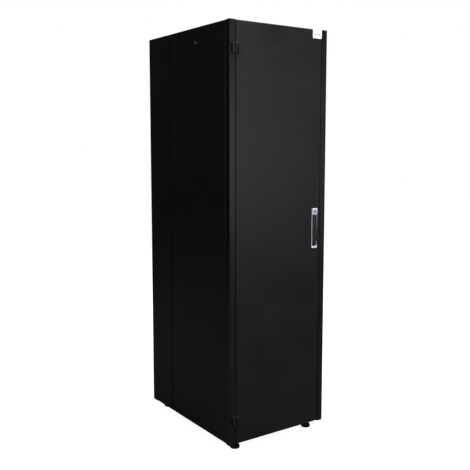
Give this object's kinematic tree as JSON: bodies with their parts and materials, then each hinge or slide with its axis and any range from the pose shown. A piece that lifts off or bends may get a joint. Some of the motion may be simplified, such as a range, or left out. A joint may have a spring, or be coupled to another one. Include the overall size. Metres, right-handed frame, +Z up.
{
  "type": "network server rack cabinet",
  "caption": "Tall black network rack cabinet with a solid hinged front door, swing handle, split side panels, 19 inch rails and levelling feet.",
  "frame": {"origin": "on the floor, under the middle of the cabinet", "axes": "+X to the right seen from the front, +Y to the rear, +Z up"},
  "size_m": [0.6076, 0.81, 2.092],
  "materials": {
    "black_powder_coat": "satin",
    "zinc_steel": "satin",
    "rubber": "matte",
    "chrome": "polished",
    "lever_black": "satin",
    "cover_plastic": "gloss",
    "label_white": "satin",
    "brass": "satin",
    "foot_black": "matte"
  },
  "bodies": {
    "cabinet_frame": {"front_post_left": "black_powder_coat", "front_post_right": "black_powder_coat", "rear_post_left": "black_powder_coat", "rear_post_right": "black_powder_coat", "hinge_blanks": "black_powder_coat", "base_frame": "black_powder_coat", "top_frame": "black_powder_coat", "seam_uprights": "black_powder_coat", "depth_rails": "zinc_steel", "roof_panel": "black_powder_coat", "floor_panel": "black_powder_coat", "cable_entry_trims": "rubber", "rear_side_panel_left": "black_powder_coat", "rear_side_panel_right": "black_powder_coat", "earth_bar": "brass", "panel_screws": "zinc_steel", "rod_keepers": "zinc_steel", "side_lock_keepers": "zinc_steel", "post_hinge_leaves": "black_powder_coat", "hinge_pins": "zinc_steel", "foot_inserts": "zinc_steel"},
    "front_door": {"front_door_skin": "black_powder_coat", "front_door_stiffeners": "black_powder_coat", "front_door_gasket": "rubber", "front_door_hinge_leaves": "black_powder_coat", "label_plate": "label_white", "handle_housing": "chrome", "lock_cap": "chrome", "rod_guides": "zinc_steel", "gearbox_cover": "zinc_steel"},
    "handle_hub": {"handle_hub": "zinc_steel", "lever_pin": "zinc_steel", "handle_pinion": "zinc_steel"},
    "handle_lever": {"handle_lever": "lever_black"},
    "lock_cover": {"lock_cover": "cover_plastic"},
    "key_cylinder": {"key_cylinder": "chrome"},
    "upper_latch_rod": {"upper_latch_rod": "zinc_steel"},
    "lower_latch_rod": {"lower_latch_rod": "zinc_steel"},
    "rear_door": {"rear_door_skin": "black_powder_coat", "rear_door_stiffeners": "black_powder_coat", "rear_door_gasket": "rubber", "rear_door_hinge_leaves": "black_powder_coat"},
    "rear_lock": {"rear_lock": "chrome"},
    "side_panel_left": {"side_panel_left": "black_powder_coat"},
    "side_panel_right": {"side_panel_right": "black_powder_coat"},
    "side_lock_left": {"side_lock_left": "chrome"},
    "side_lock_right": {"side_lock_right": "chrome"},
    "front_rails": {"front_mounting_rails": "zinc_steel", "front_rail_bolts": "zinc_steel"},
    "rear_rails": {"rear_mounting_rails": "zinc_steel", "rear_rail_bolts": "zinc_steel"},
    "foot_pad_front_left": {"foot_pad_front_left": "foot_black"},
    "foot_stud_front_left": {"foot_stud_front_left": "zinc_steel"},
    "foot_pad_front_right": {"foot_pad_front_right": "foot_black"},
    "foot_stud_front_right": {"foot_stud_front_right": "zinc_steel"},
    "foot_pad_rear_left": {"foot_pad_rear_left": "foot_black"},
    "foot_stud_rear_left": {"foot_stud_rear_left": "zinc_steel"},
    "foot_pad_rear_right": {"foot_pad_rear_right": "foot_black"},
    "foot_stud_rear_right": {"foot_stud_rear_right": "zinc_steel"}
  },
  "joints": [
    {"name": "front_door_swing", "type": "hinge", "parent": "cabinet_frame", "child": "front_door", "pos_m": [-0.2655, -0.4, 1.062], "axis": [0, 0, -1], "range_deg": [0, 120]},
    {"name": "handle_swing", "type": "hinge", "parent": "front_door", "child": "handle_hub", "pos_m": [0.2275, -0.3975, 1.007], "axis": [0, -1, 0], "range_deg": [0, 90]},
    {"name": "lever_lift", "type": "hinge", "parent": "handle_hub", "child": "handle_lever", "pos_m": [0.2275, -0.4015, 1.007], "axis": [1, 0, 0], "range_deg": [0, 35]},
    {"name": "lock_cover_swing", "type": "hinge", "parent": "front_door", "child": "lock_cover", "pos_m": [0.2275, -0.402, 1.1825], "axis": [0, -1, 0], "range_deg": [0, 150]},
    {"name": "key_turn", "type": "hinge", "parent": "front_door", "child": "key_cylinder", "pos_m": [0.2275, -0.4, 1.172], "axis": [0, -1, 0], "range_deg": [0, 90]},
    {"name": "upper_rod_slide", "type": "slide", "parent": "front_door", "child": "upper_latch_rod", "axis": [0, 0, 1], "range_m": [-0.0189, 0]},
    {"name": "lower_rod_slide", "type": "slide", "parent": "front_door", "child": "lower_latch_rod", "axis": [0, 0, 1], "range_m": [0, 0.0189]},
    {"name": "rear_door_swing", "type": "hinge", "parent": "cabinet_frame", "child": "rear_door", "pos_m": [0.2655, 0.4, 1.062], "axis": [0, 0, -1], "range_deg": [0, 120]},
    {"name": "rear_lock_turn", "type": "hinge", "parent": "rear_door", "child": "rear_lock", "pos_m": [-0.2335, 0.4, 1.115], "axis": [0, 1, 0], "range_deg": [0, 90]},
    {"name": "side_panel_left_tilt", "type": "hinge", "parent": "cabinet_frame", "child": "side_panel_left", "pos_m": [-0.3018, -0.0975, 0.044], "axis": [0, -1, 0], "range_deg": [0, 30]},
    {"name": "side_lock_left_turn", "type": "hinge", "parent": "side_panel_left", "child": "side_lock_left", "pos_m": [-0.3018, -0.0975, 2.005], "axis": [-1, 0, 0], "range_deg": [0, 90]},
    {"name": "side_panel_right_tilt", "type": "hinge", "parent": "cabinet_frame", "child": "side_panel_right", "pos_m": [0.3018, -0.0975, 0.044], "axis": [0, 1, 0], "range_deg": [0, 30]},
    {"name": "side_lock_right_turn", "type": "hinge", "parent": "side_panel_right", "child": "side_lock_right", "pos_m": [0.3018, -0.0975, 2.005], "axis": [1, 0, 0], "range_deg": [0, 90]},
    {"name": "front_rails_slide", "type": "slide", "parent": "cabinet_frame", "child": "front_rails", "axis": [0, 1, 0], "range_m": [0, 0.12]},
    {"name": "rear_rails_slide", "type": "slide", "parent": "cabinet_frame", "child": "rear_rails", "axis": [0, 1, 0], "range_m": [-0.12, 0]},
    {"name": "foot_front_left_height", "type": "slide", "parent": "cabinet_frame", "child": "foot_pad_front_left", "axis": [0, 0, 1], "range_m": [-0.02, 0]},
    {"name": "foot_front_left_turn", "type": "hinge", "parent": "foot_pad_front_left", "child": "foot_stud_front_left", "pos_m": [-0.232, -0.339, 0.02], "axis": [0, 0, 1], "range_deg": [0, 4115]},
    {"name": "foot_front_right_height", "type": "slide", "parent": "cabinet_frame", "child": "foot_pad_front_right", "axis": [0, 0, 1], "range_m": [-0.02, 0]},
    {"name": "foot_front_right_turn", "type": "hinge", "parent": "foot_pad_front_right", "child": "foot_stud_front_right", "pos_m": [0.232, -0.339, 0.02], "axis": [0, 0, 1], "range_deg": [0, 4115]},
    {"name": "foot_rear_left_height", "type": "slide", "parent": "cabinet_frame", "child": "foot_pad_rear_left", "axis": [0, 0, 1], "range_m": [-0.02, 0]},
    {"name": "foot_rear_left_turn", "type": "hinge", "parent": "foot_pad_rear_left", "child": "foot_stud_rear_left", "pos_m": [-0.232, 0.339, 0.02], "axis": [0, 0, 1], "range_deg": [0, 4115]},
    {"name": "foot_rear_right_height", "type": "slide", "parent": "cabinet_frame", "child": "foot_pad_rear_right", "axis": [0, 0, 1], "range_m": [-0.02, 0]},
    {"name": "foot_rear_right_turn", "type": "hinge", "parent": "foot_pad_rear_right", "child": "foot_stud_rear_right", "pos_m": [0.232, 0.339, 0.02], "axis": [0, 0, 1], "range_deg": [0, 4115]}
  ],
  "couplings": [
    {"joint": "upper_rod_slide", "follows": "handle_swing", "m_per_rad": -0.012},
    {"joint": "lower_rod_slide", "follows": "handle_swing", "m_per_rad": 0.012},
    {"joint": "foot_front_left_turn", "follows": "foot_front_left_height", "rad_per_m": -3590.4},
    {"joint": "foot_front_right_turn", "follows": "foot_front_right_height", "rad_per_m": -3590.4},
    {"joint": "foot_rear_left_turn", "follows": "foot_rear_left_height", "rad_per_m": -3590.4},
    {"joint": "foot_rear_right_turn", "follows": "foot_rear_right_height", "rad_per_m": -3590.4}
  ]
}
